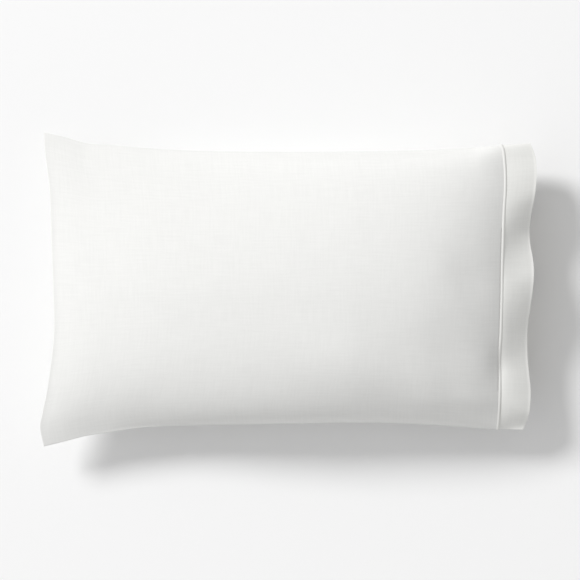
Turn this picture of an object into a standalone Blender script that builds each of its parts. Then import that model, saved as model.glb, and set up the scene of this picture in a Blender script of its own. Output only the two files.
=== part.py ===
"""A filled bed pillowcase lying on its back, in metres, with +Z up.

+X runs from the closed end to the open hem and +Y runs across. The origin is on the
surface that the case rests on, under the middle of its box. The case has three pieces:
the body, which is one filled solid, the hem band that stands open past the filling, and
the raised tuck where the band is set on to the body.
"""

from collections import namedtuple
from math import cos, exp, pi, radians, sin

import bmesh
import bpy

# ---------------------------------------------------------------- driving sizes
UPPER, UNDER = 1, -1  # the two panels

# How far a panel stands off the side seams on its middle line. It swells within a share of
# the body's length from the closed end, and falls to its height at the tuck past another.
Swell = namedtuple("Swell", "most at_tuck rounding fullness roundness fall_start fall_power")
SWELLS = {
    UPPER: Swell(0.088, 0.041, 0.68, 1.56, 1.0, 0.68, 3.4),
    UNDER: Swell(0.096, 0.062, 0.45, 2.6, 0.6, 0.35, 3.0),  # before the surface flattens it
}
HEM_RISES = {UPPER: 0.007, UNDER: 0.082}  # the same at the free edge of the hem
WAVE_SHARES = {UPPER: 1.0, UNDER: 0.6}  # how much of the hem's waves each panel takes up
HEM_WAVE_SLANT = 0.004  # how far those waves slant across the hem
END_RISE = 0.033  # the closed end's seam stands this much higher in its middle
END_RISE_REACH = 0.66  # share of the length over which that fades out
CORNER_REACH = 0.21  # distance from the closed end over which its flatter corners do
REST_SOFTNESS = 0.006  # height over which the underside turns into its flat resting face

CLOTH_WALL = 0.002  # the hem band's doubled cloth
TUCK_RADIUS = 0.0016
GAP = 0.0003  # left between pieces that touch
HEM_GAP = 0.0011  # from the tuck to the hem, whose wall leans back under its outer face
SEAM_JOIN = 1e-6  # panel edges this close are one seam
FILLING_REACH = 0.014  # how far the rounded end of the filling shows past the tuck
FILLING_INSET = 0.0045  # step down from the body's cloth to that end
FILLING_SHOULDER = 0.03  # share of its width that the end loses at its step
FILLING_NOSE = 0.07  # and at its nose
FILLING_BLUNTNESS = 2.0

# How an upright cut through the case bulges between its side seams. Its top or bottom line
# lies off the middle by the shift, and each half has its own curve. A half's corner tells
# how much flatter it gets at the closed end.
Half = namedtuple("Half", "fullness roundness corner")
Section = namedtuple("Section", "shift near far")
END_SECTION = Section(0.20, Half(1.92, 1.0, 0), Half(1.92, 1.0, 0))
MIDDLE_SECTIONS = {
    UPPER: Section(0.07, Half(4.0, 0.44, 2.36), Half(1.5, 0.7, 0)),
    UNDER: Section(0, Half(2.3, 0.62, 0), Half(2.3, 0.62, 0)),
}
TUCK_SECTIONS = {
    UPPER: Section(0.07, Half(1.7, 0.61, 0), Half(1.74, 0.43, 0)),
    UNDER: Section(0, Half(3.4, 0.8, 0), Half(9.0, 0.46, 0)),
}
HEM_SECTIONS = {
    UPPER: Section(0.07, Half(7.0, 1.49, 0), Half(3.37, 0.5, 0)),
    UNDER: Section(0, Half(5.0, 1.0, 0), Half(5.0, 0.66, 0)),
}

BODY_COLUMNS = 46
COLUMN_CROWDING = 1.25  # above 1, columns stand closer together at the closed end
END_COLUMNS = 6
ROWS = 30  # across one panel
ROW_CROWDING = 0.35  # from 0, even, to 0.5: rows stand closer together at the side seams
HEM_COLUMNS = 7

# ------------------------------------------------- outlines, a row for each bend
SidePoint = namedtuple("SidePoint", "x near_y near_z far_y far_z")
SIDE_SEAMS = [
    SidePoint(-0.3930, -0.2526, 0.067, 0.2526, 0.039),
    SidePoint(-0.3600, -0.2445, 0.069, 0.2450, 0.042),
    SidePoint(-0.3250, -0.2356, 0.071, 0.2352, 0.045),
    SidePoint(-0.2900, -0.2300, 0.072, 0.2325, 0.048),
    SidePoint(-0.2300, -0.2215, 0.075, 0.2269, 0.053),
    SidePoint(-0.1450, -0.2187, 0.077, 0.2222, 0.059),
    SidePoint(0.0000, -0.2160, 0.078, 0.2200, 0.070),
    SidePoint(0.1300, -0.2144, 0.076, 0.2205, 0.079),
    SidePoint(0.2200, -0.2174, 0.074, 0.2224, 0.084),
    SidePoint(0.2900, -0.2224, 0.071, 0.2259, 0.088),
    SidePoint(0.3350, -0.2245, 0.069, 0.2296, 0.090),
    SidePoint(0.3900, -0.2256, 0.066, 0.2341, 0.093),
]

EndPoint = namedtuple("EndPoint", "y x")
CLOSED_END = [
    EndPoint(-0.2526, -0.3930),
    EndPoint(-0.2210, -0.3984),
    EndPoint(-0.1985, -0.3943),
    EndPoint(-0.1584, -0.3857),
    EndPoint(-0.0880, -0.3762),
    EndPoint(-0.0448, -0.3748),
    EndPoint(0.0864, -0.3804),
    EndPoint(0.1584, -0.3842),
    EndPoint(0.2288, -0.3935),
    EndPoint(0.2528, -0.3948),
]
TUCK_LINE = [
    EndPoint(-0.2245, 0.3370),
    EndPoint(-0.1728, 0.3380),
    EndPoint(-0.0880, 0.3402),
    EndPoint(0.0432, 0.3409),
    EndPoint(0.1040, 0.3438),
    EndPoint(0.1728, 0.3481),
    EndPoint(0.2032, 0.3466),
    EndPoint(0.2296, 0.3396),
]

HemPoint = namedtuple("HemPoint", "y x lift")
HEM_EDGE = [
    HemPoint(-0.2256, 0.3750, 0.000),
    HemPoint(-0.1850, 0.3852, 0.011),
    HemPoint(-0.1500, 0.3864, 0.012),
    HemPoint(-0.1000, 0.3814, 0.002),
    HemPoint(-0.0600, 0.3814, -0.001),
    HemPoint(-0.0050, 0.3885, 0.015),
    HemPoint(0.0350, 0.3912, 0.014),
    HemPoint(0.0850, 0.3846, -0.010),
    HemPoint(0.1150, 0.3862, -0.001),
    HemPoint(0.1500, 0.3930, 0.010),
    HemPoint(0.1800, 0.3980, 0.007),
    HemPoint(0.2100, 0.3958, 0.001),
    HemPoint(0.2341, 0.3852, 0.000),
]

# Soft hollows (depth above 0) and ridges (below 0) of the upper panel by the tuck.
Fold = namedtuple("Fold", "x y half_length half_width turn depth")
FOLDS = [
    Fold(0.326, 0.172, 0.040, 0.016, 88, 0.0040),
    Fold(0.328, -0.108, 0.034, 0.014, 95, 0.0050),
    Fold(0.234, -0.118, 0.050, 0.020, 60, 0.0022),
    Fold(0.280, -0.140, 0.045, 0.022, 50, -0.0020),
    Fold(0.304, -0.178, 0.030, 0.014, 35, 0.0022),
]


# ------------------------------------------------------------------- the shape
def mix(start, end, share):
    return start + (end - start) * share


def ease(share):
    """Runs smoothly from 0 to 1 as the share does."""
    share = min(max(share, 0.0), 1.0)
    return share * share * (3 - 2 * share)


def read(table, at, column):
    """The value of a column at this place along a table, on a smooth curve through its rows."""
    places = [row[0] for row in table]
    at = min(max(at, places[0]), places[-1])
    first = max(i for i in range(len(table) - 1) if places[i] <= at)

    def slope(i):
        before, after = max(i - 1, 0), min(i + 1, len(table) - 1)
        change = getattr(table[after], column) - getattr(table[before], column)
        return change / (places[after] - places[before])

    span = places[first + 1] - places[first]
    t = (at - places[first]) / span
    start, end = getattr(table[first], column), getattr(table[first + 1], column)
    bend = slope(first) * span * t * (1 - t) ** 2 - slope(first + 1) * span * t**2 * (1 - t)
    return mix(start, end, ease(t)) + bend


def side_point(x, across):
    """(y, z) of the flat sheet that spans the two side seams. across runs from -1 to 1."""
    share = (across + 1) / 2
    y = mix(read(SIDE_SEAMS, x, "near_y"), read(SIDE_SEAMS, x, "far_y"), share)
    z = mix(read(SIDE_SEAMS, x, "near_z"), read(SIDE_SEAMS, x, "far_z"), share)
    return y, z


def crosswise(share):
    """The place from -1 to 1 of the row that lies at this share of all rows."""
    even = 2 * share - 1
    return even * (1 + ROW_CROWDING - ROW_CROWDING * even * even)


def arch(across, start, end, share, cornered=0.0):
    """1 on the top or bottom line and 0 at the side seams, on a section between two others."""
    across += mix(start.shift, end.shift, share) * (1 - across * across)
    one, other = (start.near, end.near) if across < 0 else (start.far, end.far)
    fullness = mix(one.fullness, other.fullness, share)
    roundness = mix(one.roundness, other.roundness, share) * (1 + one.corner * cornered)
    return max(1 - abs(across) ** fullness, 0.0) ** roundness


def near_seam(section):
    """Lets waves and folds fade out at the side seams."""
    return min(section * 3, 1.0)


def swell(along, side):
    """How far a panel's middle line stands off the seams, from the end (0) to the tuck (1)."""
    shape = SWELLS[side]
    from_end = min(along / shape.rounding, 1.0)
    rounded = (1 - (1 - from_end) ** shape.fullness) ** shape.roundness
    fall = max(along - shape.fall_start, 0.0) / (1 - shape.fall_start)
    return shape.most * rounded - (shape.most - shape.at_tuck) * fall**shape.fall_power


def rested(z):
    """The underside's height once the flat surface at z = 0 has pushed back on it."""
    if z <= -REST_SOFTNESS:
        return 0.0
    if z >= REST_SOFTNESS:
        return z
    return (z + REST_SOFTNESS) ** 2 / (4 * REST_SOFTNESS)


def fold_depth(x, y):
    """How far the hollows and ridges lower the upper panel here."""
    depth = 0.0
    for fold in FOLDS:
        turn = radians(fold.turn)
        along = (x - fold.x) * cos(turn) + (y - fold.y) * sin(turn)
        over = (y - fold.y) * cos(turn) - (x - fold.x) * sin(turn)
        distance = (along / fold.half_length) ** 2 + (over / fold.half_width) ** 2
        depth += fold.depth * exp(-distance)
    return depth


def body_point(along, across, side):
    """A point of the upper or the under panel, from the closed end (0) to the tuck (1)."""
    seam_x = mix(CLOSED_END[0].x, TUCK_LINE[0].x, along)
    y, seam_z = side_point(seam_x, across)
    closed_y = side_point(CLOSED_END[0].x, across)[0]
    tuck_y = side_point(TUCK_LINE[0].x, across)[0]
    tuck_x = read(TUCK_LINE, tuck_y, "x") - TUCK_RADIUS - GAP
    closed_x = read(CLOSED_END, closed_y, "x")
    x = mix(closed_x, tuck_x, along)
    end_arch = arch(across, END_SECTION, END_SECTION, 0)
    seam_z += END_RISE * end_arch * (1 - ease(along / END_RISE_REACH))
    cornered = exp(-(((x - closed_x) / CORNER_REACH) ** 2))
    section = arch(across, MIDDLE_SECTIONS[side], TUCK_SECTIONS[side], ease(along), cornered)
    height = swell(along, side) * section
    if side == UPPER:
        return x, y, seam_z + height - fold_depth(x, y) * near_seam(section)
    return x, y, rested(seam_z - height)


def filling_point(forward, across, side):
    """A point of the rounded end inside the hem, from its step (0) to its nose (1)."""
    x, y, z = body_point(1.0, across, side)
    middle_y = side_point(TUCK_LINE[0].x, 0)[0]
    seam_z = side_point(TUCK_LINE[0].x, across)[1]
    turn = forward * pi / 2
    height = (1 - FILLING_INSET / SWELLS[side].at_tuck) * cos(turn) ** FILLING_BLUNTNESS
    width = 1 - mix(FILLING_SHOULDER, FILLING_NOSE, forward)
    x += GAP + FILLING_REACH * sin(turn)
    return x, mix(middle_y, y, width), mix(seam_z, z, height)


def hem_point(outward, across, side):
    """A point of the hem band's outer face, from the tuck (0) to the free edge (1)."""
    tuck_y = side_point(TUCK_LINE[0].x, across)[0]
    free_y = side_point(HEM_EDGE[0].x, across)[0]
    start = read(TUCK_LINE, tuck_y, "x") + TUCK_RADIUS + HEM_GAP
    x = mix(start, read(HEM_EDGE, free_y, "x"), outward)
    y = mix(tuck_y, free_y, outward)
    seam_z = side_point(mix(TUCK_LINE[0].x, HEM_EDGE[0].x, outward), across)[1]
    section = arch(across, TUCK_SECTIONS[side], HEM_SECTIONS[side], outward)
    height = mix(SWELLS[side].at_tuck, HEM_RISES[side], outward) * section
    wave_y = free_y + HEM_WAVE_SLANT * (1 - outward)
    lift = read(HEM_EDGE, wave_y, "lift") * WAVE_SHARES[side] * outward * near_seam(section)
    z = seam_z + side * height + lift
    return x, y, z if side == UPPER else rested(z)


def tuck_point(across, side):
    """A point of the tuck's middle line, level with the cloth of the body."""
    y, seam_z = side_point(TUCK_LINE[0].x, across)
    section = arch(across, TUCK_SECTIONS[side], TUCK_SECTIONS[side], 1)
    return read(TUCK_LINE, y, "x"), y, seam_z + side * SWELLS[side].at_tuck * section


# --------------------------------------------------------------- making objects
def cloth(name, colour, roughness):
    material = bpy.data.materials.new(name)
    material.use_nodes = True
    shader = material.node_tree.nodes["Principled BSDF"]
    shader.inputs["Base Color"].default_value = (*colour, 1.0)
    shader.inputs["Roughness"].default_value = roughness
    shader.inputs["Metallic"].default_value = 0.0
    return material


def add_panel(bm, columns, side):
    """Lays a grid of points: each column has the surface that it lies on and its place along it."""
    last = len(columns) - 1
    grid = bmesh.ops.create_grid(bm, x_segments=last, y_segments=ROWS, size=0.5)
    for vert in grid["verts"]:
        surface, along = columns[round((vert.co.x + 0.5) * last)]
        vert.co = surface(along, crosswise(vert.co.y + 0.5), side)


def sewn_object(name, columns, collection, material):
    """The upper and the under panel, joined where their edges meet."""
    bm = bmesh.new()
    add_panel(bm, columns, UPPER)
    add_panel(bm, columns, UNDER)
    bmesh.ops.remove_doubles(bm, verts=bm.verts, dist=SEAM_JOIN)
    bmesh.ops.recalc_face_normals(bm, faces=bm.faces)
    mesh = bpy.data.meshes.new(name)
    bm.to_mesh(mesh)
    bm.free()
    mesh.shade_smooth()
    mesh.materials.append(material)
    obj = bpy.data.objects.new(name, mesh)
    collection.objects.link(obj)
    return obj


def make_body(collection):
    """The case around its filling, as one solid with the filling's rounded end in the hem."""
    crowded = [(i / BODY_COLUMNS) ** COLUMN_CROWDING for i in range(BODY_COLUMNS + 1)]
    body = [(body_point, along) for along in crowded]
    rounded_end = [(filling_point, i / END_COLUMNS) for i in range(END_COLUMNS + 1)]
    percale = cloth("case_percale", (0.86, 0.86, 0.85), 0.8)
    sewn_object("case_body", body + rounded_end, collection, percale)


def make_hem(collection):
    """The hem band, a flattened sleeve of doubled cloth that stays open past the filling."""
    columns = [(hem_point, i / HEM_COLUMNS) for i in range(HEM_COLUMNS + 1)]
    percale = cloth("hem_percale", (0.84, 0.84, 0.82), 0.8)
    sleeve = sewn_object("hem_band", columns, collection, percale)
    wall = sleeve.modifiers.new("doubled cloth", "SOLIDIFY")
    wall.thickness = CLOTH_WALL
    wall.offset = -1
    wall.use_even_offset = True
    wall.use_quality_normals = True


def make_tuck(collection):
    """The narrow raised tuck that runs right round the case between body and hem."""
    across = [crosswise(row / ROWS) for row in range(ROWS + 1)]
    ring = [tuck_point(a, UPPER) for a in across]
    ring += [tuck_point(a, UNDER) for a in reversed(across[1:-1])]
    curve = bpy.data.curves.new("hem_tuck", "CURVE")
    curve.dimensions = "3D"
    curve.bevel_depth = TUCK_RADIUS
    curve.bevel_resolution = 2
    spline = curve.splines.new("POLY")
    spline.points.add(len(ring) - 1)
    for point, place in zip(spline.points, ring):
        point.co = (*place, 1.0)
    spline.use_cyclic_u = True
    curve.materials.append(cloth("tuck_percale", (0.88, 0.88, 0.87), 0.8))
    collection.objects.link(bpy.data.objects.new("hem_tuck", curve))


def main():
    for obj in list(bpy.data.objects):
        bpy.data.objects.remove(obj)
    collection = bpy.data.collections.new("pillowcase")
    bpy.context.scene.collection.children.link(collection)
    make_body(collection)
    make_hem(collection)
    make_tuck(collection)


main()
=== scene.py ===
"""The looks of a filled pillowcase of white cotton percale, seen from straight above.

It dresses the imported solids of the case's body, its hem band and the tuck between them.
Every length is in metres. +X runs from the closed end to the open hem, +Y runs across,
and +Z points up from the surface that the case rests on.
"""

from collections import namedtuple
from math import copysign, cos, exp, pi, radians, sin

import bmesh
import bpy
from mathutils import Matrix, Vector, noise


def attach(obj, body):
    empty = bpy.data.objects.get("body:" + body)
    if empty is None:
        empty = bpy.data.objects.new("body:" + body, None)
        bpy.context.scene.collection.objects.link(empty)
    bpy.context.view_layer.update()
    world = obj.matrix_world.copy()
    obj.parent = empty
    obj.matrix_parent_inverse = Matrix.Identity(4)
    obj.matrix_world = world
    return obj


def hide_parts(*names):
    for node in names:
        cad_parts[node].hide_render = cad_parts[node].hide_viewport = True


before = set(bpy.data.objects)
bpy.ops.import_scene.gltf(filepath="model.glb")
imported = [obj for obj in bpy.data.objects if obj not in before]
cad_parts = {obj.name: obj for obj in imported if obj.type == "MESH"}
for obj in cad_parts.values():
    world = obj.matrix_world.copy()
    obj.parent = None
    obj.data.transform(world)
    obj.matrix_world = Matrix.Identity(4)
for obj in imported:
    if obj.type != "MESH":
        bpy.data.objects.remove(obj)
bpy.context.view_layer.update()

# ===================================================================== the case's body
# Two panels of white cotton percale, sewn together along both sides and the closed end,
# then turned right side out, so that every seam ends in a narrow pressed edge. The pillow
# inside swells them, draws the long sides in and flattens the underside where it rests.

UPPER, UNDER = 1, -1  # the two panels

# How far a panel stands off the side seams on its middle line. It swells within a share of
# the body's length from the closed end, and falls to its height at the tuck past another.
Swell = namedtuple("Swell", "most at_tuck rounding fullness roundness fall_start fall_power")
SWELLS = {
    UPPER: Swell(0.088, 0.041, 0.68, 1.56, 1.0, 0.68, 3.4),
    UNDER: Swell(0.096, 0.062, 0.45, 2.6, 0.6, 0.35, 3.0),  # before the surface flattens it
}
END_RISE = 0.033  # the closed end's seam stands this much higher in its middle
END_RISE_REACH = 0.66  # share of the length over which that fades out
CORNER_REACH = 0.21  # distance from the closed end over which its flatter corners do
REST_SOFTNESS = 0.006  # height over which the underside turns into its flat resting face
TUCK_WIDTH = 0.0046
TUCK_LAP = 0.0006  # how far the body's and the band's cloth runs into the tuck
SEAM_JOIN = 1e-6  # panel edges this close are one seam
SEAM_FADE = 1.8  # how soon waves and folds set in as a panel rises from its seams
FOLD_END = 12  # squared distance, in half sizes, past which a fold is too shallow to count
CREASE = radians(60)  # edges sharper than this are shaded as edges

PRESSED_EDGE = 0.0012  # width of the seam's pressed edge
PRESSED_THICKNESS = 0.0014
PRESSED_NOSE = 0.0007  # width over which that edge rounds off
NEAR_PINCH = 0.0025  # width over which the cloth rises out of the near seam
FAR_PINCH = 0.007  # and out of the far seam
END_PINCH = 0.010  # and out of the closed end's seam
HELD_OPEN = 0.93  # past this share of the length the tuck holds the side seams open
PUCKER = 0.00010  # height of the small puckers along the seams
PUCKER_SPACING = 0.012
PUCKER_REACH = 0.016  # how far they run into the cloth
PUCKER_START = 0.004  # width over which they set in
PUCKER_LENGTH = 0.05  # distance from the seam over which one turns into another
FLAT_LENGTH = 0.760  # of one panel, without its hem
FLAT_WIDTH = 0.508

# How an upright cut through the case bulges between its side seams. Its top or bottom line
# lies off the middle by the shift, and each half has its own curve. A half's corner tells
# how much flatter it gets at the closed end.
Half = namedtuple("Half", "fullness roundness corner")
Section = namedtuple("Section", "shift near far")
END_SECTION = Section(0.20, Half(1.92, 1.0, 0), Half(1.92, 1.0, 0))
MIDDLE_SECTIONS = {
    UPPER: Section(0.07, Half(4.0, 0.44, 2.36), Half(1.5, 0.7, 0)),
    UNDER: Section(0, Half(2.3, 0.62, 0), Half(2.3, 0.62, 0)),
}
TUCK_SECTIONS = {
    UPPER: Section(0.07, Half(1.7, 0.61, 0), Half(1.74, 0.43, 0)),
    UNDER: Section(0, Half(3.4, 0.8, 0), Half(9.0, 0.46, 0)),
}

SidePoint = namedtuple("SidePoint", "x near_y near_z far_y far_z")
SIDE_SEAMS = [
    SidePoint(-0.3930, -0.2526, 0.067, 0.2526, 0.039),
    SidePoint(-0.3600, -0.2445, 0.069, 0.2450, 0.042),
    SidePoint(-0.3250, -0.2356, 0.071, 0.2352, 0.045),
    SidePoint(-0.2900, -0.2300, 0.072, 0.2325, 0.048),
    SidePoint(-0.2300, -0.2215, 0.075, 0.2269, 0.053),
    SidePoint(-0.1450, -0.2187, 0.077, 0.2222, 0.059),
    SidePoint(0.0000, -0.2160, 0.078, 0.2200, 0.070),
    SidePoint(0.1300, -0.2144, 0.076, 0.2205, 0.079),
    SidePoint(0.2200, -0.2174, 0.074, 0.2224, 0.084),
    SidePoint(0.2900, -0.2224, 0.071, 0.2259, 0.088),
    SidePoint(0.3350, -0.2245, 0.069, 0.2296, 0.090),
    SidePoint(0.3900, -0.2256, 0.066, 0.2341, 0.093),
]
EndPoint = namedtuple("EndPoint", "y x")
CLOSED_END = [
    EndPoint(-0.2526, -0.3930),
    EndPoint(-0.2210, -0.3984),
    EndPoint(-0.1985, -0.3943),
    EndPoint(-0.1584, -0.3857),
    EndPoint(-0.0880, -0.3762),
    EndPoint(-0.0448, -0.3748),
    EndPoint(0.0864, -0.3804),
    EndPoint(0.1584, -0.3842),
    EndPoint(0.2288, -0.3935),
    EndPoint(0.2528, -0.3948),
]
TUCK_LINE = [
    EndPoint(-0.2245, 0.3352),
    EndPoint(-0.1890, 0.3362),
    EndPoint(-0.1445, 0.3363),
    EndPoint(-0.0985, 0.3357),
    EndPoint(-0.0762, 0.3367),
    EndPoint(-0.0080, 0.3383),
    EndPoint(0.0270, 0.3386),
    EndPoint(0.0715, 0.3397),
    EndPoint(0.1160, 0.3413),
    EndPoint(0.1620, 0.3440),
    EndPoint(0.1975, 0.3438),
    EndPoint(0.2217, 0.3420),
    EndPoint(0.2296, 0.3392),
]

# Soft hollows (depth above 0) and ridges (below 0) of the upper panel. The tuck and the
# start of the hem band follow them.
Fold = namedtuple("Fold", "x y half_length half_width turn depth")
FOLDS = [
    Fold(0.345, 0.212, 0.100, 0.023, 128, 0.0070),
    Fold(0.337, -0.120, 0.024, 0.014, 96, 0.0070),
    Fold(0.259, -0.151, 0.100, 0.035, 98, 0.0036),
    Fold(0.258, -0.149, 0.065, 0.045, 4, -0.0070),
    Fold(0.287, -0.181, 0.070, 0.024, 181, -0.0048),
    Fold(0.287, 0.013, 0.031, 0.045, 213, 0.0043),
    Fold(0.118, -0.132, 0.100, 0.045, -25, -0.0070),
]


def mix(start, end, share):
    return start + (end - start) * share


def ease(share):
    """Runs smoothly from 0 to 1 as the share does."""
    share = min(max(share, 0.0), 1.0)
    return share * share * (3 - 2 * share)


def read(table, at, column):
    """The value of a column at this place along a table, on a smooth curve through its rows."""
    places = [row[0] for row in table]
    at = min(max(at, places[0]), places[-1])
    first = max(i for i in range(len(table) - 1) if places[i] <= at)

    def slope(i):
        before, after = max(i - 1, 0), min(i + 1, len(table) - 1)
        change = getattr(table[after], column) - getattr(table[before], column)
        return change / (places[after] - places[before])

    span = places[first + 1] - places[first]
    t = (at - places[first]) / span
    start, end = getattr(table[first], column), getattr(table[first + 1], column)
    bend = slope(first) * span * t * (1 - t) ** 2 - slope(first + 1) * span * t**2 * (1 - t)
    return mix(start, end, ease(t)) + bend


def side_point(x, across):
    """(y, z) of the flat sheet that spans the two side seams. across runs from -1 to 1."""
    share = (across + 1) / 2
    y = mix(read(SIDE_SEAMS, x, "near_y"), read(SIDE_SEAMS, x, "far_y"), share)
    z = mix(read(SIDE_SEAMS, x, "near_z"), read(SIDE_SEAMS, x, "far_z"), share)
    return y, z


def arch(across, start, end, share, cornered=0.0):
    """1 on the top or bottom line and 0 at the side seams, on a section between two others."""
    across += mix(start.shift, end.shift, share) * (1 - across * across)
    one, other = (start.near, end.near) if across < 0 else (start.far, end.far)
    fullness = mix(one.fullness, other.fullness, share)
    roundness = mix(one.roundness, other.roundness, share) * (1 + one.corner * cornered)
    return max(1 - abs(across) ** fullness, 0.0) ** roundness


def near_seam(section):
    """Lets waves and folds fade out at the side seams."""
    return ease(section * SEAM_FADE)


def swell(along, side):
    """How far a panel's middle line stands off the seams, from the end (0) to the tuck (1)."""
    shape = SWELLS[side]
    from_end = min(along / shape.rounding, 1.0)
    rounded = (1 - (1 - from_end) ** shape.fullness) ** shape.roundness
    fall = max(along - shape.fall_start, 0.0) / (1 - shape.fall_start)
    return shape.most * rounded - (shape.most - shape.at_tuck) * fall**shape.fall_power


def rested(z):
    """The underside's height once the flat surface at z = 0 has pushed back on it."""
    if z <= -REST_SOFTNESS:
        return 0.0
    if z >= REST_SOFTNESS:
        return z
    return (z + REST_SOFTNESS) ** 2 / (4 * REST_SOFTNESS)


def fold_depth(folds, x, y):
    """How far the hollows and ridges lower the cloth here."""
    depth = 0.0
    for fold in folds:
        turn = radians(fold.turn)
        along = (x - fold.x) * cos(turn) + (y - fold.y) * sin(turn)
        over = (y - fold.y) * cos(turn) - (x - fold.x) * sin(turn)
        distance = (along / fold.half_length) ** 2 + (over / fold.half_width) ** 2
        if distance < FOLD_END:
            depth += fold.depth * exp(-distance)
    return depth


def pinch(distance, width):
    """How far the cloth has risen out of a seam at this distance from its edge."""
    return 1 - exp(-max(distance - PRESSED_EDGE, 0.0) / width)


def pressed(distance):
    """Half the thickness of the pressed edge, which rounds off at its nose."""
    return PRESSED_THICKNESS / 2 * min(distance / PRESSED_NOSE, 1.0) ** 0.5


def puckers(along_seam, distance, seed):
    """Height of the small gathers that the stitches leave beside a seam."""
    wave = noise.noise(Vector((along_seam / PUCKER_SPACING, distance / PUCKER_LENGTH, seed)))
    return PUCKER * wave * 2 * ease(distance / PUCKER_START) * exp(-distance / PUCKER_REACH)


def body_point(along, across, side):
    """A point of the upper or the under panel, from the closed end (0) to the tuck (1)."""
    seam_x = mix(CLOSED_END[0].x, TUCK_LINE[0].x, along)
    y, seam_z = side_point(seam_x, across)
    closed_y = side_point(CLOSED_END[0].x, across)[0]
    tuck_y = side_point(TUCK_LINE[0].x, across)[0]
    closed_x = read(CLOSED_END, closed_y, "x")
    tuck_x = read(TUCK_LINE, tuck_y, "x") - TUCK_WIDTH / 2 + TUCK_LAP
    x = mix(closed_x, tuck_x, along)
    from_side = abs(side_point(seam_x, copysign(1, across))[0] - y)
    from_end = x - closed_x
    end_arch = arch(across, END_SECTION, END_SECTION, 0)
    seam_z += END_RISE * end_arch * (1 - ease(along / END_RISE_REACH))
    cornered = exp(-((from_end / CORNER_REACH) ** 2))
    section = arch(across, MIDDLE_SECTIONS[side], TUCK_SECTIONS[side], ease(along), cornered)
    height = swell(along, side) * section
    pinched = pinch(from_side, NEAR_PINCH if across < 0 else FAR_PINCH)
    height *= mix(pinched, 1.0, ease((along - HELD_OPEN) / (1 - HELD_OPEN)))
    height *= pinch(from_end, END_PINCH)
    height += pressed(min(from_side, from_end))
    height += puckers(x, from_side, 5 * side + copysign(2, across))
    height += puckers(y, from_end, 5 * side)
    if side == UPPER:
        return x, y, seam_z + height - fold_depth(FOLDS, x, y) * near_seam(section)
    return x, y, rested(seam_z - height)


def body_close(_, across, side):
    """The edge where the body's open end is closed off inside the hem."""
    x, y, _ = body_point(1.0, across, side)
    return x, y, side_point(TUCK_LINE[0].x, across)[1]


ROW_CROWDING = 1.8  # rows stand closer together at the side seams


def crosswise(share):
    """The place from -1 to 1 of the row at this share of all rows."""
    even = 2 * share - 1
    return copysign(1 - (1 - abs(even)) ** ROW_CROWDING, even)


def sewn_panels(name, columns, rows, flat_length, flat_width):
    """An upper and an under panel, joined where their edges meet. Each column has the surface
    that it lies on and its place along it. The UV map holds each point's place on the flat
    cloth in metres, so that the threads follow it."""
    bm = bmesh.new()
    threads = bm.loops.layers.uv.new("threads")
    last = len(columns) - 1
    for side in (UPPER, UNDER):
        grid = bmesh.ops.create_grid(bm, x_segments=last, y_segments=rows, size=0.5)
        flat = {}
        for vert in grid["verts"]:
            surface, along = columns[round((vert.co.x + 0.5) * last)]
            across = crosswise(vert.co.y + 0.5)
            flat[vert] = (along * flat_length, (across / 2 + 2 * side) * flat_width)
            vert.co = surface(along, across, side)
        for face in {face for vert in grid["verts"] for face in vert.link_faces}:
            for loop in face.loops:
                loop[threads].uv = flat[loop.vert]
    bmesh.ops.remove_doubles(bm, verts=bm.verts, dist=SEAM_JOIN)
    bmesh.ops.recalc_face_normals(bm, faces=bm.faces)
    mesh = bpy.data.meshes.new(name)
    bm.to_mesh(mesh)
    bm.free()
    mesh.shade_smooth()
    made = bpy.data.objects.new(name, mesh)
    bpy.context.scene.collection.objects.link(made)
    return made


def linear(colour):
    """A colour as sRGB hex, such as #E8E8E5, as the linear numbers that a shader takes."""
    parts = [int(colour[i : i + 2], 16) / 255 for i in (1, 3, 5)]
    bent = [c / 12.92 if c <= 0.04045 else ((c + 0.055) / 1.055) ** 2.4 for c in parts]
    return (*bent, 1.0)


def add_node(tree, kind, inputs=(), **settings):
    """Adds a node. An input is a name or number with its value or the output that feeds it."""
    made = tree.nodes.new(kind)
    for name, value in settings.items():
        setattr(made, name, value)
    for socket, value in dict(inputs).items():
        if isinstance(value, bpy.types.NodeSocket):
            tree.links.new(value, made.inputs[socket])
        else:
            made.inputs[socket].default_value = value
    return made


THREAD_SPACING = 0.0011  # four times the real 0.27 mm, which no pixel of the render can hold
SLUB_LENGTH = 0.045
SLUB_WIDTH = 0.0032
CRUMPLE_SIZE = 0.055


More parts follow.
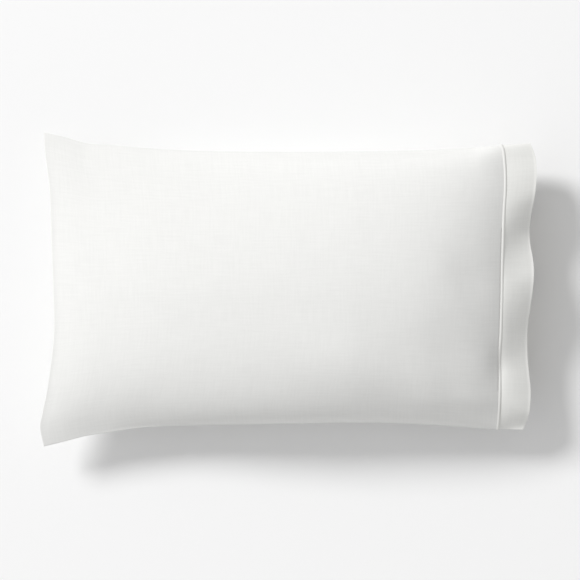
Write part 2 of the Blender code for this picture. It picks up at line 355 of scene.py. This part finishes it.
def percale(name, dark, light, crumple):
    """Bleached cotton percale: a close, flat plain weave with a dry, matt face. Thicker
    threads show as faint streaks along and across it, and it keeps soft crumples."""
    material = bpy.data.materials.new(name)
    material.use_nodes = True
    tree = material.node_tree
    shader = tree.nodes["Principled BSDF"]
    place = add_node(tree, "ShaderNodeUVMap", uv_map="threads").outputs["UV"]

    # One over, one under: each square of the checker shows a warp or a weft thread.
    ribs = pi / (10 * THREAD_SPACING)  # a wave texture's scale for this spacing
    wave = {"Vector": place, "Scale": ribs, "Phase Offset": -pi / 2}
    warp = add_node(tree, "ShaderNodeTexWave", wave, bands_direction="X")
    weft = add_node(tree, "ShaderNodeTexWave", wave, bands_direction="Y")
    over = add_node(
        tree, "ShaderNodeTexChecker", {"Vector": place, "Scale": 1 / THREAD_SPACING}
    )
    weave = add_node(
        tree,
        "ShaderNodeMix",
        {0: over.outputs["Fac"], 2: warp.outputs["Fac"], 3: weft.outputs["Fac"]},
    )

    # Thick and thin places of single threads, which run both ways.
    streaks = []
    for size in ((1 / SLUB_LENGTH, 1 / SLUB_WIDTH, 1), (1 / SLUB_WIDTH, 1 / SLUB_LENGTH, 1)):
        stretched = add_node(
            tree, "ShaderNodeVectorMath", {0: place, 1: size}, operation="MULTIPLY"
        )
        streaks.append(
            add_node(
                tree,
                "ShaderNodeTexNoise",
                {"Vector": stretched.outputs["Vector"], "Scale": 1.0, "Detail": 2.0},
            ).outputs["Fac"]
        )
    slubs = add_node(
        tree, "ShaderNodeMath", {0: streaks[0], 1: streaks[1]}, operation="ADD"
    ).outputs["Value"]

    crumples = add_node(
        tree,
        "ShaderNodeTexNoise",
        {"Vector": place, "Scale": 1 / CRUMPLE_SIZE, "Detail": 3.0, "Roughness": 0.45},
    ).outputs["Fac"]

    tint = add_node(
        tree,
        "ShaderNodeMapRange",
        {"Value": slubs, "From Min": 0.7, "From Max": 1.3, "To Min": 0.0, "To Max": 1.0},
    )
    colour = add_node(
        tree,
        "ShaderNodeMix",
        {0: tint.outputs["Result"], 6: linear(dark), 7: linear(light)},
        data_type="RGBA",
    )
    tree.links.new(colour.outputs[2], shader.inputs["Base Color"])

    roughness = add_node(
        tree,
        "ShaderNodeMapRange",
        {"Value": slubs, "From Min": 0.7, "From Max": 1.3, "To Min": 0.90, "To Max": 0.78},
    )
    tree.links.new(roughness.outputs["Result"], shader.inputs["Roughness"])

    bump = None
    for height, distance, strength in (
        (crumples, crumple, 1.0),
        (slubs, 0.00006, 0.5),
        (weave.outputs["Result"], 0.00004, 0.4),
    ):
        inputs = {"Height": height, "Distance": distance, "Strength": strength}
        if bump:
            inputs["Normal"] = bump.outputs["Normal"]
        bump = add_node(tree, "ShaderNodeBump", inputs)
    tree.links.new(bump.outputs["Normal"], shader.inputs["Normal"])

    shader.inputs["IOR"].default_value = 1.5
    shader.inputs["Specular IOR Level"].default_value = 0.3
    shader.inputs["Sheen Weight"].default_value = 0.10
    shader.inputs["Sheen Roughness"].default_value = 0.5
    return material


BODY_COLUMNS = 340
COLUMN_CROWDING = 1.5  # columns stand closer together at the closed end
BODY_ROWS = 88

crowded = [(i / BODY_COLUMNS) ** COLUMN_CROWDING for i in range(BODY_COLUMNS + 1)]
body_columns = [(body_point, along) for along in crowded] + [(body_close, 1.0)]
case_body = sewn_panels("case_panels", body_columns, BODY_ROWS, FLAT_LENGTH, FLAT_WIDTH)
case_body.data.set_sharp_from_angle(angle=CREASE)
case_body.data.materials.append(percale("bleached_percale", "#E2E2E0", "#E6E6E4", 0.0006))
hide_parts("case_body")
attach(case_body, "root")

# ================================================================ the end of the pillow
# The pillow's own cover is plain unbleached cotton ticking. Its rounded end shows only
# through the open hem, where it is held by the case and ends in its own seam.

END_STEP = 0.0006  # left between the closed-off body and the pillow's end
END_REACH = 0.014  # how far it shows past the tuck
END_INSET = 0.0045  # step down to it from the body's cloth
END_SHOULDER = 0.03  # share of its width that it loses at its step
END_NOSE = 0.07  # and at its nose
END_BLUNTNESS = 2.0
END_COLUMNS = 20
END_FLAT_LENGTH = 0.05


def pillow_point(forward, across, side):
    """A point of the rounded end inside the hem, from its step (0) to its nose (1)."""
    x, y, _ = body_point(1.0, across, side)
    middle_y = side_point(TUCK_LINE[0].x, 0)[0]
    seam_z = side_point(TUCK_LINE[0].x, across)[1]
    section = arch(across, TUCK_SECTIONS[side], TUCK_SECTIONS[side], 1)
    turn = forward * pi / 2
    height = (SWELLS[side].at_tuck - END_INSET) * section * max(cos(turn), 0.0) ** END_BLUNTNESS
    width = 1 - mix(END_SHOULDER, END_NOSE, forward)
    z = seam_z + side * height
    if side == UPPER:
        z -= fold_depth(FOLDS, x, y) * near_seam(section)
    return x + END_STEP + END_REACH * sin(turn), mix(middle_y, y, width), z


def pillow_back(_, across, side):
    x, y, _ = pillow_point(0.0, across, side)
    return x, y, side_point(TUCK_LINE[0].x, across)[1]


pillow_columns = [(pillow_back, 0.0)]
pillow_columns += [(pillow_point, i / END_COLUMNS) for i in range(END_COLUMNS + 1)]
pillow_end = sewn_panels(
    "pillow_end", pillow_columns, BODY_ROWS, END_FLAT_LENGTH, FLAT_WIDTH
)
pillow_end.data.set_sharp_from_angle(angle=CREASE)
pillow_end.data.materials.append(percale("cotton_ticking", "#DBD8CE", "#E2DFD6", 0.0003))
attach(pillow_end, "root")

# ========================================================================= the hem band
# A strip of the same percale, folded double and set on to the open end as a sleeve. It
# stands past the pillow with nothing inside, so it stays open and its free fold waves.

HEM_RISES = {UPPER: 0.007, UNDER: 0.082}  # how far its free edge stands off the side seams
WAVE_SHARES = {UPPER: 1.0, UNDER: 0.6}  # how much of its waves each panel takes up
HEM_WAVE_SLANT = 0.013  # how far those waves slant across it
HEM_WAVE_GROWTH = 0.8  # below 1 they start strongly at the tuck
HEM_LIP = 0.0008  # height of the slight lip that the free fold turns up in
HEM_LIP_REACH = 0.05  # share of the width that the lip takes up
HEM_CLOTH = 0.0017  # the two layers together
HEM_FOLD = 0.0007  # radius that rounds the free fold
HEM_SECTIONS = {
    UPPER: Section(0.07, Half(7.0, 1.49, 0), Half(3.37, 0.5, 0)),
    UNDER: Section(0, Half(5.0, 1.0, 0), Half(5.0, 0.66, 0)),
}
HEM_COLUMNS = 44
HEM_FLAT_DEPTH = 0.050
HemPoint = namedtuple("HemPoint", "y x lift")
HEM_EDGE = [
    HemPoint(-0.2256, 0.3758, 0.000),
    HemPoint(-0.2080, 0.3825, 0.010),
    HemPoint(-0.1850, 0.3858, 0.014),
    HemPoint(-0.1600, 0.3863, 0.012),
    HemPoint(-0.1350, 0.3840, 0.009),
    HemPoint(-0.1100, 0.3817, 0.007),
    HemPoint(-0.0850, 0.3812, 0.005),
    HemPoint(-0.0600, 0.3816, 0.006),
    HemPoint(-0.0300, 0.3852, 0.012),
    HemPoint(-0.0050, 0.3882, 0.018),
    HemPoint(0.0200, 0.3901, 0.020),
    HemPoint(0.0450, 0.3896, 0.012),
    HemPoint(0.0700, 0.3858, 0.002),
    HemPoint(0.0950, 0.3845, -0.003),
    HemPoint(0.1200, 0.3869, 0.003),
    HemPoint(0.1500, 0.3922, 0.009),
    HemPoint(0.1800, 0.3950, 0.005),
    HemPoint(0.2100, 0.3938, 0.000),
    HemPoint(0.2341, 0.3852, 0.000),
]


def hem_point(outward, across, side):
    """A point of the hem band's outer face, from the tuck (0) to the free fold (1)."""
    tuck_y = side_point(TUCK_LINE[0].x, across)[0]
    free_y = side_point(HEM_EDGE[0].x, across)[0]
    start = read(TUCK_LINE, tuck_y, "x") + TUCK_WIDTH / 2 - TUCK_LAP
    x = mix(start, read(HEM_EDGE, free_y, "x"), outward)
    y = mix(tuck_y, free_y, outward)
    seam_z = side_point(mix(TUCK_LINE[0].x, HEM_EDGE[0].x, outward), across)[1]
    section = arch(across, TUCK_SECTIONS[side], HEM_SECTIONS[side], outward)
    height = mix(SWELLS[side].at_tuck, HEM_RISES[side], outward) * section
    wave_y = free_y + HEM_WAVE_SLANT * (1 - outward)
    lift = read(HEM_EDGE, wave_y, "lift") * WAVE_SHARES[side] * outward**HEM_WAVE_GROWTH
    if side == UPPER:
        lift += HEM_LIP * exp(-(((1 - outward) / HEM_LIP_REACH) ** 2))
        lift -= fold_depth(FOLDS, start, tuck_y) * (1 - outward)
    z = seam_z + side * height + lift * near_seam(section)
    return x, y, z if side == UPPER else rested(z)


hem_columns = [(hem_point, i / HEM_COLUMNS) for i in range(HEM_COLUMNS + 1)]
hem_band = sewn_panels("hem_sleeve", hem_columns, BODY_ROWS, HEM_FLAT_DEPTH, FLAT_WIDTH)
doubled = hem_band.modifiers.new("two layers", "SOLIDIFY")
doubled.thickness = HEM_CLOTH
doubled.offset = -1
doubled.use_even_offset = True
doubled.use_quality_normals = True
rounded = hem_band.modifiers.new("rounded fold", "BEVEL")
rounded.width = HEM_FOLD
rounded.segments = 3
rounded.limit_method = "ANGLE"
rounded.angle_limit = CREASE
hem_band.data.materials.append(percale("folded_percale", "#E3E3E0", "#E7E7E4", 0.0004))
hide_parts("hem_band")
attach(hem_band, "root")

# ============================================================================= the tuck
# A narrow pinch of the cloth, folded outwards where the band is set on and stitched down
# along its foot. It runs right round the case and stands a little proud of it.

TUCK_HEIGHT = 0.0015
TUCK_LEAN = 0.5  # how much of that height it gains towards the hem and loses on the other side
TUCK_ROOT = 0.0016  # how far it reaches below the cloth's face
TUCK_CORNERS = 20
TUCK_ROWS = 160  # on each panel


def tuck_point(across, side):
    """A point of the tuck's middle line, level with the cloth of the body."""
    y, seam_z = side_point(TUCK_LINE[0].x, across)
    section = arch(across, TUCK_SECTIONS[side], TUCK_SECTIONS[side], 1)
    x = read(TUCK_LINE, y, "x")
    z = seam_z + side * SWELLS[side].at_tuck * section
    if side == UPPER:
        z -= fold_depth(FOLDS, x, y) * near_seam(section)
    return Vector((x, y, z))


def offset_ring(ring, along, out):
    """The points of a ring that faces +X, moved along +X and out from the ring."""
    moved = []
    for i, point in enumerate(ring):
        ahead = ring[(i + 1) % len(ring)] - ring[i - 1]
        away = ahead.cross(Vector((1, 0, 0))).normalized()
        moved.append(point + Vector((along, 0, 0)) + away * out)
    return moved


def swept_ring(name, ring, profile):
    """A closed tube: the profile's (along, out) points, carried round a ring."""
    bm = bmesh.new()
    loops = [[bm.verts.new(p) for p in offset_ring(ring, *corner)] for corner in profile]
    for one, other in zip(loops, loops[1:] + loops[:1]):
        for j in range(len(ring)):
            k = (j + 1) % len(ring)
            bm.faces.new((one[j], one[k], other[k], other[j]))
    bmesh.ops.recalc_face_normals(bm, faces=bm.faces)
    mesh = bpy.data.meshes.new(name)
    bm.to_mesh(mesh)
    bm.free()
    mesh.shade_smooth()
    made = bpy.data.objects.new(name, mesh)
    bpy.context.scene.collection.objects.link(made)
    return made


def tuck_corner(turn):
    """(along, out) of a corner of its cross-section, at this turn from its top."""
    reach = mix(-TUCK_ROOT, TUCK_HEIGHT, (1 + cos(turn)) / 2)
    if reach > 0:
        reach *= 1 + TUCK_LEAN * sin(turn)
    return TUCK_WIDTH / 2 * sin(turn), reach


rows = [crosswise(i / TUCK_ROWS) for i in range(TUCK_ROWS + 1)]
ring = [tuck_point(a, UPPER) for a in rows]
ring += [tuck_point(a, UNDER) for a in reversed(rows[1:-1])]
profile = [tuck_corner(2 * pi * i / TUCK_CORNERS) for i in range(TUCK_CORNERS)]
hem_tuck = swept_ring("tuck_fold", ring, profile)
hem_tuck.data.materials.append(percale("tucked_percale", "#DCDCD9", "#E1E1DE", 0.0002))
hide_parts("hem_tuck")
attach(hem_tuck, "root")

# ==================================================================== the tuck's stitches
# One row of machine lockstitch in white cotton thread, which holds the tuck down along its
# foot on the body's side, right round the case.

STITCH_PITCH = 0.0030
STITCH_LENGTH = 0.0023
THREAD = 0.00045
TWIST_LENGTH = 0.0006
STITCH_TURN = radians(-52)  # where on the tuck's cross-section the row runs

cotton_thread = bpy.data.materials.new("cotton_thread")  # soft, matt, with a faint twist
cotton_thread.use_nodes = True
tree = cotton_thread.node_tree
shader = tree.nodes["Principled BSDF"]
place = add_node(tree, "ShaderNodeTexCoord").outputs["Object"]
twist = add_node(
    tree, "ShaderNodeTexNoise", {"Vector": place, "Scale": 1 / TWIST_LENGTH}
).outputs["Fac"]
strands = add_node(
    tree,
    "ShaderNodeMix",
    {0: twist, 6: linear("#D9D9D6"), 7: linear("#E6E6E3")},
    data_type="RGBA",
)
bump = add_node(
    tree, "ShaderNodeBump", {"Height": twist, "Distance": 0.0001, "Strength": 0.6}
)
tree.links.new(strands.outputs[2], shader.inputs["Base Color"])
tree.links.new(bump.outputs["Normal"], shader.inputs["Normal"])
shader.inputs["Roughness"].default_value = 0.75

stitch_sizes = {"Pitch": STITCH_PITCH, "Length": STITCH_LENGTH, "Thread": THREAD}
run = bpy.data.node_groups.new("run_of_stitches", "GeometryNodeTree")
run.interface.new_socket("Geometry", in_out="INPUT", socket_type="NodeSocketGeometry")
run.interface.new_socket("Geometry", in_out="OUTPUT", socket_type="NodeSocketGeometry")
for name in stitch_sizes:
    run.interface.new_socket(name, in_out="INPUT", socket_type="NodeSocketFloat")
given = add_node(run, "NodeGroupInput").outputs
row = add_node(run, "GeometryNodeMeshToCurve", {"Mesh": given["Geometry"]})
row = add_node(
    run,
    "GeometryNodeResampleCurve",
    {"Curve": row.outputs["Curve"], "Length": given["Pitch"]},
    mode="LENGTH",
)
tangent = add_node(run, "GeometryNodeInputTangent").outputs["Tangent"]
turned = add_node(run, "FunctionNodeAlignRotationToVector", {"Vector": tangent}, axis="Z")
stitch = add_node(run, "GeometryNodeMeshUVSphere", {"Segments": 8, "Rings": 6, "Radius": 0.5})
size = add_node(
    run,
    "ShaderNodeCombineXYZ",
    {"X": given["Thread"], "Y": given["Thread"], "Z": given["Length"]},
)
placed = add_node(
    run,
    "GeometryNodeInstanceOnPoints",
    {
        "Points": row.outputs["Curve"],
        "Instance": stitch.outputs["Mesh"],
        "Rotation": turned.outputs["Rotation"],
        "Scale": size.outputs["Vector"],
    },
)
real = add_node(run, "GeometryNodeRealizeInstances", {"Geometry": placed.outputs["Instances"]})
dressed = add_node(
    run,
    "GeometryNodeSetMaterial",
    {"Geometry": real.outputs["Geometry"], "Material": cotton_thread},
)
add_node(run, "NodeGroupOutput", {"Geometry": dressed.outputs["Geometry"]})

points = offset_ring(ring, *tuck_corner(STITCH_TURN))
stitch_line = bpy.data.meshes.new("tuck_stitches")
stitch_line.from_pydata(points, [(i, (i + 1) % len(points)) for i in range(len(points))], [])
tuck_stitches = bpy.data.objects.new("tuck_stitches", stitch_line)
bpy.context.scene.collection.objects.link(tuck_stitches)
sewn = tuck_stitches.modifiers.new("stitches", "NODES")
sewn.node_group = run
for item in run.interface.items_tree:
    if item.name in stitch_sizes:
        sewn[item.identifier] = stitch_sizes[item.name]
evaluated = tuck_stitches.evaluated_get(bpy.context.evaluated_depsgraph_get())
stitch_mesh = bpy.data.meshes.new_from_object(evaluated)
tuck_stitches.modifiers.clear()
tuck_stitches.data = stitch_mesh
stitch_mesh.shade_smooth()
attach(tuck_stitches, "root")

# ================================================================ floor, light and camera
# A matt white floor, one wide soft lamp up to the left behind the closed end, and a pale
# room that is a little brighter on the closed end's side and the near side. The camera
# looks straight down.

FLOOR_SIZE = 24.0
PIXEL = 0.0016  # metres in the camera's view at the height of the seams
SEAM_HEIGHT = 0.08
CAMERA_HEIGHT = 5.0  # above the seams
CAMERA_PLACE = (1.25 * PIXEL, -1.0 * PIXEL)  # over the middle of the picture
PICTURE_WIDTH = 580 * PIXEL
SENSOR = 36
LAMP_DISTANCE = 20.0
LAMP_WIDTH = 6.4
LAMP_ELEVATION = radians(38)
LAMP_TURN = radians(41)  # from straight beyond the closed end towards the far side
LAMP_POWER = 2884
ROOM_LIGHT = 0.583
ROOM_SIDES = (-0.14, -0.07, 0.0)  # how much brighter it is towards +X, +Y and +Z

floor_mesh = bpy.data.meshes.new("floor")
half = FLOOR_SIZE / 2
corners = [(-half, -half, 0), (half, -half, 0), (half, half, 0), (-half, half, 0)]
floor_mesh.from_pydata(corners, [], [(0, 1, 2, 3)])
floor = bpy.data.objects.new("floor", floor_mesh)
bpy.context.scene.collection.objects.link(floor)
board = bpy.data.materials.new("matt_white_board")  # even and dull, with no gleam
board.use_nodes = True
shader = board.node_tree.nodes["Principled BSDF"]
shader.inputs["Base Color"].default_value = linear("#F4F4F4")
shader.inputs["Roughness"].default_value = 0.9
shader.inputs["Specular IOR Level"].default_value = 0.2
floor_mesh.materials.append(board)

lamp_data = bpy.data.lights.new("soft_lamp", "AREA")
lamp_data.shape = "DISK"
lamp_data.size = LAMP_WIDTH
lamp_data.energy = LAMP_POWER
lamp = bpy.data.objects.new("soft_lamp", lamp_data)
level = cos(LAMP_ELEVATION)
toward_lamp = Vector((-level * cos(LAMP_TURN), level * sin(LAMP_TURN), sin(LAMP_ELEVATION)))
lamp.location = toward_lamp * LAMP_DISTANCE
lamp.rotation_euler = (-lamp.location).to_track_quat("-Z", "Y").to_euler()
bpy.context.scene.collection.objects.link(lamp)

room = bpy.data.worlds.new("pale_room")
room.use_nodes = True
background = room.node_tree.nodes["Background"]
background.inputs["Color"].default_value = (1, 1, 1, 1)
tree = room.node_tree
toward = add_node(tree, "ShaderNodeTexCoord").outputs["Generated"]
uneven = add_node(
    tree, "ShaderNodeVectorMath", {0: toward, 1: ROOM_SIDES}, operation="DOT_PRODUCT"
)
strength = add_node(
    tree,
    "ShaderNodeMath",
    {0: uneven.outputs["Value"], 1: ROOM_LIGHT, 2: ROOM_LIGHT},
    operation="MULTIPLY_ADD",
)
tree.links.new(strength.outputs["Value"], background.inputs["Strength"])
bpy.context.scene.world = room

camera_data = bpy.data.cameras.new("camera")
camera_data.sensor_width = SENSOR
camera_data.lens = SENSOR * CAMERA_HEIGHT / PICTURE_WIDTH
camera_data.clip_end = 60
camera = bpy.data.objects.new("camera", camera_data)
camera.location = (*CAMERA_PLACE, SEAM_HEIGHT + CAMERA_HEIGHT)
bpy.context.scene.collection.objects.link(camera)
bpy.context.scene.camera = camera
bpy.context.scene.view_settings.view_transform = "Standard"
